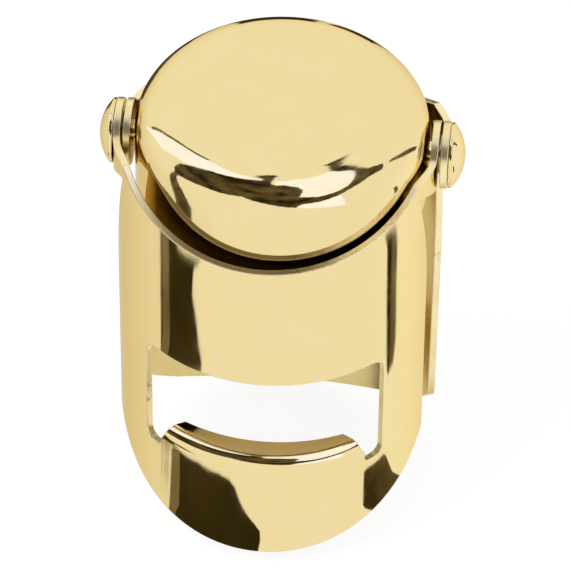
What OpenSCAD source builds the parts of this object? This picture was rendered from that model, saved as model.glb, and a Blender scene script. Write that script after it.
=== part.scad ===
// Clamp-on stopper for a sparkling-wine bottle.
// Two stamped half-round jaws hang from a drum cap on two rivets.
// Heights inside the modules count from the hinge axis; the whole is lifted so that
// z = 0 is the sealing face, which rests on the bottle's mouth. The front is -Y.

/* [Cap] */
// Outside diameter of the round cap
cap_d = 35.8; // [34:0.1:40]
// Height of the flat top above the hinge axis
cap_top = 7.8; // [6.8:0.1:11]
// Depth of the skirt below the hinge axis
cap_skirt = 6; // [5.6:0.1:6.4]
// Radius of the rounded shoulder
cap_shoulder = 5.6; // [2:0.1:6.4]
// Sheet thickness of the cap
cap_wall = 1; // [0.6:0.1:1.4]

/* [Seal] */
// Diameter of the rubber face that closes the mouth
seal_d = 30; // [26:0.5:31]
// How far the rubber stands out below the skirt
seal_drop = 6; // [3:0.1:8]
// Rounding of the rubber's lower edge
seal_round = 0.8; // [0.2:0.1:1.5]
// Radial gap between the rubber's flange and the skirt
seal_gap = 0.05; // [0.02:0.01:0.2]

/* [Jaws] */
// Thickness of the jaw sheet
sheet_t = 0.9; // [0.7:0.05:1.1]
// Half of the angle that a jaw wraps round the neck, in degrees
jaw_spread = 75; // [72:0.5:78]
// Height of sheet below the window's sill, at the middle
chin_h = 12.9; // [8:0.1:18]
// Radius of the round lower end, on the flat blank
tip_r = 35.8; // [32:0.1:60]
// Depth of the top scoop's middle below the hinge axis
scoop_low = 3.6; // [2.8:0.1:4.4]
// Radius of the top scoop, on the flat blank
scoop_r = 47; // [42:0.5:60]
// Height, against the hinge axis, of the notch under each arm
neck_z = -0.4; // [-1.5:0.1:0.2]
// Height, against the hinge axis, where the side edges start to lean in
flare_z = -18; // [-20:0.5:-15]
// Radius of the leaning side edges, on the flat blank
flare_r = 50; // [46:0.5:70]

/* [Window and lip] */
// Height from the sealing face down to the top of the gripping lip
grip_h = 23.3; // [20:0.1:27]
// Width of the window, across the jaw's outer face
window_w = 29.4; // [28:0.1:31]
// Clear height of the window above the lip
window_clear = 13.2; // [8:0.1:15]
// Corner radius at the window's sill
sill_round = 1.4; // [0.6:0.1:1.8]
// Corner radius at the window's top
top_round = 0.8; // [0.4:0.1:1.8]
// Width of the tab that carries the lip, across the jaw's outer face
tab_w = 25.6; // [24:0.1:26.4]
// Straight height of the tab above the sill
tab_rise = 1.5; // [0.8:0.1:2.5]
// Inside radius of the bend between tab and lip
bend_r = 0.9; // [0.5:0.1:1.2]
// Reach of the lip from the jaw's outer face, at the middle
lip_reach = 3.6; // [3:0.1:4.5]
// Width of the lip's free edge
lip_w = 19.6; // [14:0.1:21]
// Radius of the lip's hollow free edge
lip_edge_r = 21.2; // [19:0.1:30]

/* [Hinges] */
// Radius of the round ears
ear_r = 4.1; // [3.6:0.1:4.6]
// Fillet between an ear and its arm
ear_fillet = 2; // [0.5:0.1:3]
// Radius of the bend that turns an arm into its flat ear
arm_bend_r = 1.5; // [1:0.1:2]
// Gap between the cap and the inner ears
cap_clear = 0.3; // [0.25:0.05:0.5]
// Thickness of the washer between two ears
washer_t = 0.2; // [0.1:0.05:0.5]
// Radius of the washers
washer_r = 2.4; // [2.1:0.1:3.2]
// Side play on each face of the ears
play = 0.05; // [0.02:0.01:0.1]
// Radius of the rivet shanks
shank_r = 1.6; // [1.2:0.05:1.9]
// Radial clearance of the shanks in their holes
hole_clear = 0.05; // [0.02:0.01:0.1]
// Radius of the rivet heads
head_r = 4; // [3.4:0.1:4.6]
// Height of the straight rim of a rivet head
head_rim = 0.4; // [0.2:0.1:1]
// Height of the dome above that rim
head_dome = 1.5; // [0.8:0.1:2]
// Radius of the upset tails inside the cap
tail_r = 2.6; // [2.2:0.1:3]
// Thickness of the upset tails
tail_t = 1; // [0.6:0.1:1.5]

/* [Pose] */
// How far the back jaw leans in from upright, in degrees
back_swing = 6; // [0:0.5:6.5]

/* [Hidden] */
$fn = 128;
gold = "#efd99b";
dark_gold = "#d8bf7a";
rubber_grey = "#3a3a3a";
// Margin by which cutting shapes run past what they cut
over = 1;
// Angle of the small ledge where the tab's side turns into the lip's slanting end
lip_step = 0.8;
// Room left between the rubber and the upset rivet tails
seat_gap = 0.6;

// Cap and hinge stack, counted outwards from the middle along X
cap_r = cap_d / 2;
bore_r = cap_r - cap_wall;
hole_r = shank_r + hole_clear;
ear_in = cap_r + cap_clear;
washer_x = ear_in + sheet_t + play;
ear_out = washer_x + washer_t + play;
head_x = ear_out + sheet_t + play;
tail_seat = sqrt(bore_r * bore_r - tail_r * tail_r);
tail_x = tail_seat - tail_t;

// Each jaw has one ear inside and one outside, so its tube sits off the middle
jaw_shift = (ear_out - ear_in) / 2;
jaw_ri = (ear_in + ear_out) / 2;
jaw_rm = jaw_ri + sheet_t / 2;
jaw_ro = jaw_ri + sheet_t;

// Heights from the hinge axis
hinge_h = cap_skirt + seal_drop;
lip_z = -hinge_h - grip_h;
bend_ro = bend_r + sheet_t;
tab_z = lip_z - bend_ro;
sill_z = tab_z - tab_rise;
window_z = lip_z + window_clear;
tip_low = sill_z - chin_h;
top_cut = cap_top + over;

// Angles on the jaw, from its middle
window_a = asin(window_w / 2 / jaw_ro);
tab_a = asin(tab_w / 2 / jaw_ro);
arm_a = edge_a(neck_z);
arm_top = scoop_z(arm_a);
arm_len = (jaw_rm - arm_bend_r) * (1 - sin(arm_a)) / cos(arm_a);

// Steps along curved outlines
outline_n = 96;
flare_n = 20;
corner_n = 6;
bend_n = 6;

// Point at radius r and angle a from the jaw's middle
function on_jaw(r, a) = [r * sin(a), -r * cos(a)];

// Length on the flat blank for an angle on the jaw
function blank_s(a) = jaw_rm * a * PI / 180;

// Rise of a circle of radius r at distance s from its lowest point
function sag(r, s) = r - sqrt(r * r - s * s);

function scoop_z(a) = -scoop_low + sag(scoop_r, blank_s(a));

function tip_z(a) = tip_low + sag(tip_r, blank_s(a));

// Angle of the side edge at height z
function edge_a(z) = jaw_spread - sag(flare_r, max(z - flare_z, 0)) / jaw_rm * 180 / PI;

// Rise of a rounded corner of radius r at distance s from the side
function corner(r, s) = s < r ? sag(r, r - s) : 0;

// Solid between radii inside and outside the sheet, through columns [angle, low, high]
module radial_prism(columns) {
    r0 = jaw_ri - 3 * over;
    r1 = jaw_ro + 3 * over;
    n = len(columns);
    points = [for (c = columns)
        each [concat(on_jaw(r0, c[0]), c[1]),
              concat(on_jaw(r1, c[0]), c[1]),
              concat(on_jaw(r1, c[0]), c[2]),
              concat(on_jaw(r0, c[0]), c[2])]];
    walls = [for (i = [0 : n - 2])
        let (k = 4 * i)
        each [[k, k + 1, k + 5, k + 4],
              [k + 3, k + 7, k + 6, k + 2],
              [k + 1, k + 2, k + 6, k + 5],
              [k, k + 4, k + 7, k + 3]]];
    ends = [[3, 2, 1, 0],
            [4 * n - 4, 4 * n - 3, 4 * n - 2, 4 * n - 1]];
    polyhedron(points = points, faces = concat(walls, ends), convexity = 4);
}

module jaw_tube() {
    translate([0, 0, tip_low - over])
        difference() {
            cylinder(r = jaw_ro, h = top_cut - tip_low + over);
            translate([0, 0, -over])
                cylinder(r = jaw_ri, h = top_cut - tip_low + 3 * over);
        }
}

// The blank's outline: round lower end, scooped top
module jaw_outline() {
    radial_prism([for (i = [0 : outline_n])
        let (a = jaw_spread * (2 * i / outline_n - 1))
        [a, tip_z(a), scoop_z(min(abs(a), arm_a))]]);
}

// What the leaning side edge takes away, on the right side
module flare_cut() {
    edge = [for (i = [0 : flare_n])
        let (z = neck_z + (flare_z - neck_z) * i / flare_n)
        [edge_a(z), z, top_cut]];
    radial_prism(concat(edge, [[jaw_spread + 2, flare_z, top_cut]]));
}

module window_cut() {
    side = [for (i = [0 : corner_n - 1]) sill_round * (1 - cos(90 * i / corner_n))];
    last = max(sill_round, top_round);
    steps = concat(side, [last]);
    count = len(steps);
    to_deg = 180 / PI / jaw_rm;
    left = [for (i = [0 : count - 1])
        [-window_a + steps[i] * to_deg,
         sill_z + corner(sill_round, steps[i]),
         window_z - corner(top_round, steps[i])]];
    inner_a = window_a - last * to_deg;
    middle = [for (i = [1 : outline_n / 2 - 1])
        [inner_a * (4 * i / outline_n - 1), sill_z, window_z]];
    right = [for (i = [0 : count - 1])
        let (c = left[count - 1 - i])
        [-c[0], c[1], c[2]]];
    radial_prism(concat(left, middle, right));
}

// Tab on the sill, bent inwards into the lip that hooks under the bottle's collar
module lip() {
    bend_c = jaw_ri - bend_r;
    lip_r0 = jaw_ro - 2 * lip_reach;
    edge_y = lip_edge_r + lip_reach - jaw_ro;
    tip = [lip_w / 2, edge_y - sqrt(lip_edge_r * lip_edge_r - lip_w * lip_w / 4)];
    root = tip + 1.4 * (on_jaw(jaw_ro, tab_a - lip_step) - tip);
    reach = 2 * jaw_ro;
    difference() {
        intersection() {
            rotate_extrude() {
                translate([jaw_ri, sill_z - over])
                    square([sheet_t, tab_rise + over]);
                translate([bend_c, tab_z])
                    intersection() {
                        difference() {
                            circle(r = bend_ro);
                            circle(r = bend_r);
                        }
                        square(bend_ro);
                    }
                translate([lip_r0, lip_z - sheet_t])
                    square([bend_c - lip_r0, sheet_t]);
            }
            translate([0, 0, sill_z - 2 * over])
                linear_extrude(height = lip_z - sill_z + 3 * over)
                    polygon([[0, 0], on_jaw(reach, -tab_a), on_jaw(reach, tab_a)]);
        }
        translate([0, edge_y, tab_z - over])
            cylinder(r = lip_edge_r, h = bend_ro + 2 * over);
        for (m = [0, 1])
            mirror([m, 0, 0])
                translate([0, 0, tab_z])
                    linear_extrude(height = bend_ro + over)
                        polygon([root, tip, [tip[0], 0], [jaw_ro + over, 0],
                                 [jaw_ro + over, root[1]]]);
    }
}

// Side view of an arm and its ear: a disc, the arm and a fillet between them
module ear_profile() {
    root = [-jaw_rm * cos(arm_a), neck_z];
    aim = atan2(root[1], root[0]) + acos(ear_r / norm(root));
    touch = ear_r * [cos(aim), sin(aim)];
    fillet_z = arm_top + ear_fillet;
    fillet_y = -sqrt(pow(ear_r + ear_fillet, 2) - fillet_z * fillet_z);
    meet = [fillet_y, fillet_z] * ear_r / (ear_r + ear_fillet);
    circle(r = ear_r);
    polygon([[root[0] - over, neck_z], root, touch, [0, 0], [0, arm_top],
             [root[0] - over, arm_top]]);
    difference() {
        polygon([[fillet_y, arm_top], meet, [0, arm_top]]);
        translate([fillet_y, fillet_z])
            circle(r = ear_fillet);
    }
}

// Plan view of the right arm: straight off the tube, then bent into the flat ear
module arm_plan() {
    start = on_jaw(jaw_rm, arm_a);
    bend_c = [jaw_rm - arm_bend_r,
              start[1] + arm_len * sin(arm_a) + arm_bend_r * cos(arm_a)];
    out_r = arm_bend_r + sheet_t / 2;
    in_r = arm_bend_r - sheet_t / 2;
    turns = [for (i = [0 : bend_n]) arm_a + (90 - arm_a) * i / bend_n];
    outer = [for (a = turns) bend_c + out_r * [sin(a), -cos(a)]];
    inner = [for (i = [0 : bend_n])
        let (a = turns[bend_n - i])
        bend_c + in_r * [sin(a), -cos(a)]];
    polygon(concat([on_jaw(jaw_ro, arm_a)], outer,
                   [[jaw_ro, ear_r + over], [jaw_ri, ear_r + over]],
                   inner, [on_jaw(jaw_ri, arm_a)]));
}

module arm() {
    low = -ear_r - over;
    difference() {
        intersection() {
            translate([0, 0, low])
                linear_extrude(height = ear_r + over - low)
                    arm_plan();
            rotate([90, 0, 90])
                linear_extrude(height = jaw_ro + over)
                    ear_profile();
        }
        rotate([0, 90, 0])
            cylinder(r = hole_r, h = jaw_ro + over);
    }
}

// One jaw, with its outer ear on the left and its inner ear on the right
module jaw() {
    translate([-jaw_shift, 0, 0]) {
        difference() {
            intersection() {
                jaw_tube();
                jaw_outline();
            }
            window_cut();
            for (m = [0, 1])
                mirror([m, 0, 0])
                    flare_cut();
        }
        lip();
        for (m = [0, 1])
            mirror([m, 0, 0])
                arm();
    }
}

// Half section of a drum with a rounded top edge
module drum_profile(r, low, high, shoulder) {
    translate([0, low])
        square([r, high - shoulder - low]);
    translate([0, high - shoulder])
        square([r - shoulder, shoulder]);
    translate([r - shoulder, high - shoulder])
        intersection() {
            circle(r = shoulder);
            square(shoulder);
        }
}

module cap_shell() {
    color(gold)
        translate([0, 0, hinge_h])
            difference() {
                rotate_extrude()
                    drum_profile(cap_r, -cap_skirt, cap_top, cap_shoulder);
                rotate_extrude()
                    drum_profile(bore_r, -cap_skirt - over, cap_top - cap_wall,
                                 cap_shoulder - cap_wall);
                rotate([0, 90, 0])
                    cylinder(r = hole_r, h = 2 * (cap_r + over), center = true);
            }
}

// Rubber plug: a core up into the cap, a flange in the skirt, a round face below
module seal() {
    core_r = tail_x - seat_gap;
    core_top = hinge_h + cap_top - cap_wall - cap_shoulder;
    crown_r = bore_r - cap_shoulder;
    flange_z = seal_drop + seal_gap;
    neck_top = hinge_h - tail_r - seat_gap;
    color(rubber_grey) {
        rotate([180, 0, 0])
            rotate_extrude()
                drum_profile(seal_d / 2, -flange_z, 0, seal_round);
        translate([0, 0, flange_z])
            cylinder(r = bore_r - seal_gap, h = neck_top - flange_z);
        translate([0, 0, neck_top])
            cylinder(r = core_r, h = core_top - neck_top);
        translate([0, 0, core_top])
            cylinder(r = crown_r, h = cap_shoulder);
    }
}

// Right rivet: domed head outside, shank through ears and skirt, upset tail inside
module rivet() {
    dome_r = (head_r * head_r + head_dome * head_dome) / (2 * head_dome);
    translate([0, 0, hinge_h])
        rotate([0, 90, 0]) {
            translate([0, 0, tail_x])
                cylinder(r = tail_r, h = tail_t);
            translate([0, 0, tail_x])
                cylinder(r = shank_r, h = head_x - tail_x);
            translate([0, 0, head_x])
                cylinder(r = head_r, h = head_rim);
            translate([0, 0, head_x + head_rim])
                intersection() {
                    translate([0, 0, head_dome - dome_r])
                        sphere(r = dome_r);
                    cylinder(r = head_r + over, h = head_dome + over);
                }
        }
}

module washer() {
    translate([washer_x, 0, hinge_h])
        rotate([0, 90, 0])
            difference() {
                cylinder(r = washer_r, h = washer_t);
                translate([0, 0, -over])
                    cylinder(r = hole_r, h = washer_t + 2 * over);
            }
}

module front_jaw() {
    color(gold)
        translate([0, 0, hinge_h])
            jaw();
}

// The same jaw turned half round, leaning in as it hangs
module back_jaw() {
    color(gold)
        translate([0, 0, hinge_h])
            rotate([-back_swing, 0, 0])
                rotate([0, 0, 180])
                    jaw();
}

module right_rivet() {
    color(gold)
        rivet();
}

module left_rivet() {
    color(gold)
        mirror([1, 0, 0])
            rivet();
}

module right_washer() {
    color(dark_gold)
        washer();
}

module left_washer() {
    color(dark_gold)
        mirror([1, 0, 0])
            washer();
}

cap_shell();
seal();
front_jaw();
back_jaw();
left_rivet();
right_rivet();
left_washer();
right_washer();
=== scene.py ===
"""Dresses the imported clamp-on bottle stopper: drum cap, rubber seal, two pressed jaws, rivets
and washers."""

import math
import bpy
import numpy as np
from mathutils import Matrix, Vector
from mathutils.geometry import delaunay_2d_cdt


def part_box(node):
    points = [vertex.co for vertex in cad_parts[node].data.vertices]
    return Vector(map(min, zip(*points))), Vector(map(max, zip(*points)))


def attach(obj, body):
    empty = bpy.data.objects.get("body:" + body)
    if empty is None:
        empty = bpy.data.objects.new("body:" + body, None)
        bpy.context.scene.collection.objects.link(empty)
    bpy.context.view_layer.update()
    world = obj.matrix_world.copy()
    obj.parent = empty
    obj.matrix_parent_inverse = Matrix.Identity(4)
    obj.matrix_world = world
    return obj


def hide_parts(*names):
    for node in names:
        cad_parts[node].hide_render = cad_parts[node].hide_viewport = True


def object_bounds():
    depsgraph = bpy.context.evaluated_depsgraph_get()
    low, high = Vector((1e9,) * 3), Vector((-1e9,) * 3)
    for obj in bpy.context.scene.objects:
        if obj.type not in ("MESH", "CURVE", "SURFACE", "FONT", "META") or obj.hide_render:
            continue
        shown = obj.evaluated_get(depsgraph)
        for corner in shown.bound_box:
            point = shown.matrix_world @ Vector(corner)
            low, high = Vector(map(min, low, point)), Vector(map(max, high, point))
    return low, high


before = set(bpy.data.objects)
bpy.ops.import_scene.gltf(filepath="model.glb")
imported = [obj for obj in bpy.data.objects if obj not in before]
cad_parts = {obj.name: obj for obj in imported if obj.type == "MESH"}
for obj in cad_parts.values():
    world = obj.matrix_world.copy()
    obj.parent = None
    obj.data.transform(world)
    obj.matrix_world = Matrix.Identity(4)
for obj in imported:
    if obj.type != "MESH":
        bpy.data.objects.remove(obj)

bl_info = {
    "name": "Bottle stopper dressing",
    "version": (1, 0, 0),
    "blender": (4, 5, 0),
    "location": "3D View > Sidebar > Stopper",
    "description": "Builds the polished pieces of a clamp-on bottle stopper and its studio",
    "category": "Add Mesh",
}

CAD_BOX = [list(corner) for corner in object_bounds()]
CAP_LOW, CAP_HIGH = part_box("cap_shell")
SEAL_LOW, SEAL_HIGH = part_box("seal")
MM = 0.001

# What the polished metal sees round it: (azimuth, colour). Azimuths count from the front towards
# the right, in degrees.
TABLE_WALLS = (
    (-180, (0.86, 0.84, 0.78)), (-145, (0.82, 0.82, 0.78)), (-120, (0.89, 0.87, 0.81)),
    (-92, (0.92, 0.90, 0.84)), (-68, (0.96, 0.94, 0.90)), (-48, (0.99, 0.98, 0.96)),
    (75, (1.0, 0.99, 0.97)), (100, (1.05, 1.05, 1.05)), (125, (1.07, 1.07, 1.07)),
    (150, (1.02, 1.02, 1.0)), (180, (0.86, 0.84, 0.78)),
)
# Looks of the studio's cards: name, darkest and palest colour, how many spots
CARD_LOOKS = (
    ("black_cloth", (0.02, 0.014, 0.004), (0.14, 0.11, 0.06), 5.5),
    ("brown_board", (0.06, 0.045, 0.015), (0.17, 0.14, 0.085), 14.0),
    ("black_paper", (0.025, 0.018, 0.004), (0.06, 0.045, 0.02), 30.0),
    ("brown_paper", (0.14, 0.10, 0.06), (0.30, 0.25, 0.17), 30.0),
    # This mottled dark look paints the stopper's shadow on the table, as seen in reflections
    ("painted_shadow_card", (0.045, 0.032, 0.01), (0.15, 0.12, 0.07), 90.0),
    ("soft_box", (1.13, 1.22, 1.75), (1.19, 1.28, 1.95), 2.0),
)
# Cards far off: name, look, distance in metres, raggedness, outline as (azimuth, elevation)
FAR_CARDS = (
    ("camera_side", "black_cloth", 0.90, 0.3, [
        (-82.5, 30), (-81, 17.5), (-77.5, 8), (-70, 12.5), (-55, 21), (-40, 26), (-25, 33),
        (-20, 30), (-7.5, 26), (7.5, 20), (15, 17.5), (20, 24.5), (35, 24.5), (50, 27.5),
        (60, 31), (80, 33), (90, 27.5), (96, 34), (91, 47.5), (97.5, 57.5), (115, 65), (135, 68),
        (155, 64), (170, 56), (167, 65), (145, 71), (120, 73), (102, 69), (90, 57.5), (75, 47.5),
        (62, 39), (50, 36), (35, 36), (20, 42.5), (27, 57.5), (25, 66), (10, 72.5), (-4, 71.5),
        (-12, 73.5), (-20, 80.5), (-30, 84.5), (-53, 87), (-112, 87.5), (-160, 85.5), (-160, 82),
        (-120, 82), (-78, 80.5), (-55, 82), (-40, 78.5), (-48, 76), (-54, 72.5), (-65, 65),
        (-74, 56.7), (-79, 43.3)]),
    ("left_seam", "brown_board", 0.905, 0.15, [
        (-77, 12), (-74, 9), (-74.5, 4), (-72.5, -1), (-70, -7.5), (-67.5, -13), (-66.2, -20),
        (-65.6, -27.5), (-66.2, -32), (-68, -38.5), (-69, -46), (-87, -46), (-83, -38),
        (-79.7, -32), (-78.7, -22.5), (-78.7, -16), (-80, -4), (-79.7, 2.5)]),
    ("left_thin", "brown_board", 0.89, 0, [
        (-117, 64), (-110, 62), (-112.5, 50), (-111.8, 35), (-114, 12), (-116, 10), (-114.5, 35),
        (-116.5, 50)]),
    ("right_thin", "brown_board", 0.90, 0, [
        (97, 27.5), (101, 28), (112, 10), (120, -7), (117, -7), (106, 10)]),
    ("right_speck", "brown_board", 0.90, 0, [
        (91, -22), (94, -22), (101, -34), (98, -36)]),
    ("right_box", "soft_box", 0.93, 0, [
        (-13, 82), (-4, 71.5), (10, 73), (25.5, 66.5), (27.5, 57.5), (20.5, 43), (35, 36.5),
        (50, 36.5), (62, 39.5), (75, 48), (90, 58), (101, 69), (118, 74), (60, 84)]),
    ("left_box", "soft_box", 0.93, 0, [
        (-111, 64), (-112, 50), (-111, 35), (-113.5, 12), (-119, -3), (-108, 12), (-97, 19),
        (-90, 32), (-83, 37), (-79, 47), (-72, 57), (-57, 70), (-42, 75), (-22, 79.5), (-50, 81),
        (-80, 76)]),
    ("right_gleam", "soft_box", 0.94, 0, [
        (16, 17), (21, 24), (35, 24), (50, 27), (50, 1), (36, 8)]),
    ("back_left", "black_cloth", 0.90, 0.2, [
        (-179, 2), (-168, 2), (-169, -25), (-160, -12), (-146, -12), (-142, -20), (-158, -40),
        (-166, -36), (-172, -30), (-178, -28)]),
    ("back_right", "black_cloth", 0.90, 0.2, [
        (171, -2), (179.5, -3), (179.5, -22), (172, -24)]),
)
# Cards on the table: name, look, outline in millimetres
TABLE_CARDS = (
    ("left_bar", "black_paper", [
        (-67.0, -28.0), (-48.0, -53.6), (-50.6, -46.2), (-47.5, -42.9), (-42.1, -42.6),
        (-36.8, -40.7), (-33.1, -39.7), (-31.8, -37.6), (-43.0, -20.3), (-45.1, -22.7),
        (-49.8, -24.3)]),
    ("left_bar_edge", "brown_paper", [
        (-68.9, -21.3), (-67.0, -28.0), (-49.8, -24.3), (-45.1, -22.7), (-43.0, -20.3),
        (-44.2, -16.4), (-48.1, -18.7), (-55.9, -19.9)]),
    ("right_bar", "black_paper", [
        (69.5, -14.5), (67.3, -11.6), (59.6, -11.1), (55.1, -10.8), (48.4, -10.7), (42.8, -10.2),
        (42.9, -8.9), (48.6, -7.8), (57.6, -7.3), (70.6, -6.6)]),
    ("right_bar_edge", "brown_paper", [
        (70.6, -6.6), (57.6, -7.3), (48.6, -7.8), (43.2, -8.9), (44.4, -6.1), (48.6, -3.8),
        (53.0, -2.8), (61.0, -1.9), (67.4, -0.9), (70.5, -2.1)]),
    # The patches by the stopper's foot are dark sheets that paint its shadow on the table, seen
    # only in reflections; the brown edge paints the shadow's softer rim
    ("left_painted_shadow", "black_paper", [
        (-25.4, -22.2), (-20.2, -27.2), (-14.2, -30.5), (-10.9, -31.4), (-8.7, -30.9),
        (-6.5, -29.1), (-4.7, -27.8), (-2.1, -26.1), (-0.9, -25.0), (-0.7, -23.4), (-0.9, -20.9),
        (-12.8, -16.6), (-15.6, -17.6), (-16.4, -18.6), (-20.1, -20.2)]),
    ("left_painted_shadow_edge", "brown_paper", [
        (-26.6, -19.4), (-25.4, -22.2), (-20.1, -20.2), (-16.4, -18.6), (-15.6, -17.6),
        (-12.8, -16.6), (-15.6, -16.2), (-19.1, -17.2), (-22.8, -18.3)]),
    ("right_painted_shadow", "painted_shadow_card", [
        (24.3, -18.2), (25.3, -17.3), (28.1, -11.9), (27.7, -10.9), (25.9, -9.8), (24.6, -9.2),
        (23.1, -7.0), (22.6, -5.8), (20.9, -8.5), (19.5, -10.1), (18.0, -13.6), (18.1, -16.1),
        (18.5, -16.7)]),
)
# The photograph's view: turn round, height and roll in degrees, aim in millimetres, lens in
# millimetres, distance in metres
CAMERA_TURNS = (5.51982698, 43.53230375, 0.59389842)
CAMERA_TARGET = (1.2625, -8.0, -4.129)
CAMERA_LENS = 307.516
CAMERA_AWAY = 0.595177
# How much of its own glow the floor shows to the camera; the rest keeps the stopper's shadow
FLOOR_GLOW = 0.86
# The gold's tint at its edges, seen aslant
EDGE_TINT = (0.88, 0.78, 0.56, 1)
# Depth of rub lines against that of the sheet's waves
RUB_TO_WAVE = 0.02
# Painted shade on the inner faces, in the gap between cap and jaws: from and to which height, and
# how far to the sides, in mm
PAINTED_SHADE_BAND = (1.5, 4.5, 17.8)
# How the gold looks on each kind of surface: wave size, wave depth, bump in metres, gloss
GOLD_SURFACES = {
    "sheet": (11.0, 1.0, 0.00012, 0.05), "cap": (13.0, 0.7, 0.00008, 0.05),
    "small": (3.0, 0.5, 0.00004, 0.05), "cut": (0.6, 0.8, 0.000015, 0.3),
    "inner": (6.0, 0.6, 0.00003, 0.24),
}
# Room between the rubber and the upset tails, in millimetres
SEAT_GAP = 0.6
# Points of a flat outline that lie nearer than this count as one, in millimetres
CDT_LEAST = 1e-5


# ---------------------------------------------------------------- settings


def length(name, description, default):
    return bpy.props.FloatProperty(
        name=name, description=description, default=default,
        subtype="DISTANCE", unit="LENGTH", precision=5,
    )


def turn(name, description, default):
    return bpy.props.FloatProperty(
        name=name, description=description, default=math.radians(default),
        subtype="ANGLE", unit="ROTATION",
    )


def tint(name, description, default):
    return bpy.props.FloatVectorProperty(
        name=name, description=description, default=default,
        size=3, min=0.0, max=1.0, subtype="COLOR",
    )


def share(name, description, default):
    return bpy.props.FloatProperty(
        name=name, description=description, default=default, min=0.0, max=1.0,
        subtype="FACTOR",
    )


class CapSizes(bpy.types.PropertyGroup):
    """Sizes of the drum cap and of the rubber seal in it"""

    hinge_height: length("Hinge height", "Height of the rivets above the sealing face", 0.012)
    radius: length("Radius", "Outside radius of the cap", (CAP_HIGH.x - CAP_LOW.x) / 2)
    top: length("Top", "Height of the flat top above the sealing face", CAP_HIGH.z)
    low: length("Skirt edge", "Height of the skirt's edge above the sealing face", CAP_LOW.z)
    shoulder: length("Shoulder", "Radius of the rounded shoulder", 0.0056)
    wall: length("Wall", "Sheet thickness of the cap", 0.001)
    seal_radius: length("Seal radius", "Radius of the rubber face that closes the mouth", 0.015)
    seal_round: length("Seal rounding", "Rounding of the rubber's lower edge", 0.0008)
    seal_top: length("Seal top", "Height of the rubber's top above the sealing face", SEAL_HIGH.z)
    seal_gap: length("Seal gap", "Radial gap between the rubber and the skirt", 0.00005)


class JawSizes(bpy.types.PropertyGroup):
    """Sizes of one pressed jaw"""

    sheet: length("Sheet", "Thickness of the jaw sheet", 0.0009)
    spread: turn("Spread", "Half of the angle that a jaw wraps round the neck", 75)
    chin: length("Chin", "Height of sheet below the window's sill", 0.0129)
    tip_radius: length("Tip radius", "Radius of the round lower end, on the flat blank", 0.0358)
    scoop_low: length("Scoop depth", "Depth of the scoop's middle below the hinge axis", 0.0036)
    scoop_radius: length("Scoop radius", "Radius of the top scoop, on the flat blank", 0.047)
    neck: length("Neck", "Height of the notch under each arm, against the hinge axis", -0.0004)
    flare_low: length("Flare start", "Height where the side edges start to lean in", -0.018)
    flare_radius: length("Flare radius", "Radius of the leaning side edges", 0.05)
    grip: length("Grip", "Height from the sealing face down to the top of the lip", 0.0233)
    window_width: length("Window width", "Width of the window across the outer face", 0.0294)
    window_clear: length("Window height", "Clear height of the window above the lip", 0.0132)
    sill_round: length("Sill rounding", "Corner radius at the window's sill", 0.0014)
    top_round: length("Top rounding", "Corner radius at the window's top", 0.0022)
    tab_width: length("Tab width", "Width of the tab that carries the lip", 0.0256)
    tab_rise: length("Tab rise", "Straight height of the tab above the sill", 0.0015)
    bend: length("Bend", "Inside radius of the bend between tab and lip", 0.0009)
    lip_reach: length("Lip reach", "Reach of the lip from the outer face, at the middle", 0.0036)
    lip_sag: turn("Lip sag", "How far the lip's free edge drops", 1)
    lip_width: length("Lip width", "Width of the lip's free edge", 0.0196)
    lip_hollow: length("Lip hollow", "Radius of the lip's hollow free edge", 0.0212)
    edge: length("Edge rounding", "Rounding of the sheet's cut edges", 0.00012)
    back_swing: turn("Back swing", "How far the back jaw leans in from upright", 6)


class HingeSizes(bpy.types.PropertyGroup):
    """Sizes of the ears, rivets and washers"""

    ear: length("Ear", "Radius of the round ears", 0.0041)
    fillet: length("Fillet", "Fillet between an ear and its arm", 0.002)
    arm_bend: length("Arm bend", "Radius of the bend that turns an arm into its ear", 0.0075)
    cap_clear: length("Cap gap", "Gap between the cap and the inner ears", 0.0003)
    washer: length("Washer", "Thickness of the washers", 0.0002)
    washer_radius: length("Washer radius", "Radius of the washers", 0.0024)
    play: length("Play", "Side play on each face of the ears", 0.00005)
    shank: length("Shank", "Radius of the rivet shanks", 0.0016)
    hole: length("Hole", "Radius of the holes for the shanks", 0.00165)
    head: length("Head", "Radius of the rivet heads", 0.004)
    rim: length("Rim", "Height of the straight rim of a rivet head", 0.0004)
    dome: length("Dome", "Height of the dome above that rim", 0.0015)
    tail: length("Tail", "Radius of the upset tails inside the cap", 0.0026)
    tail_thick: length("Tail thickness", "Thickness of the upset tails", 0.001)


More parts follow.
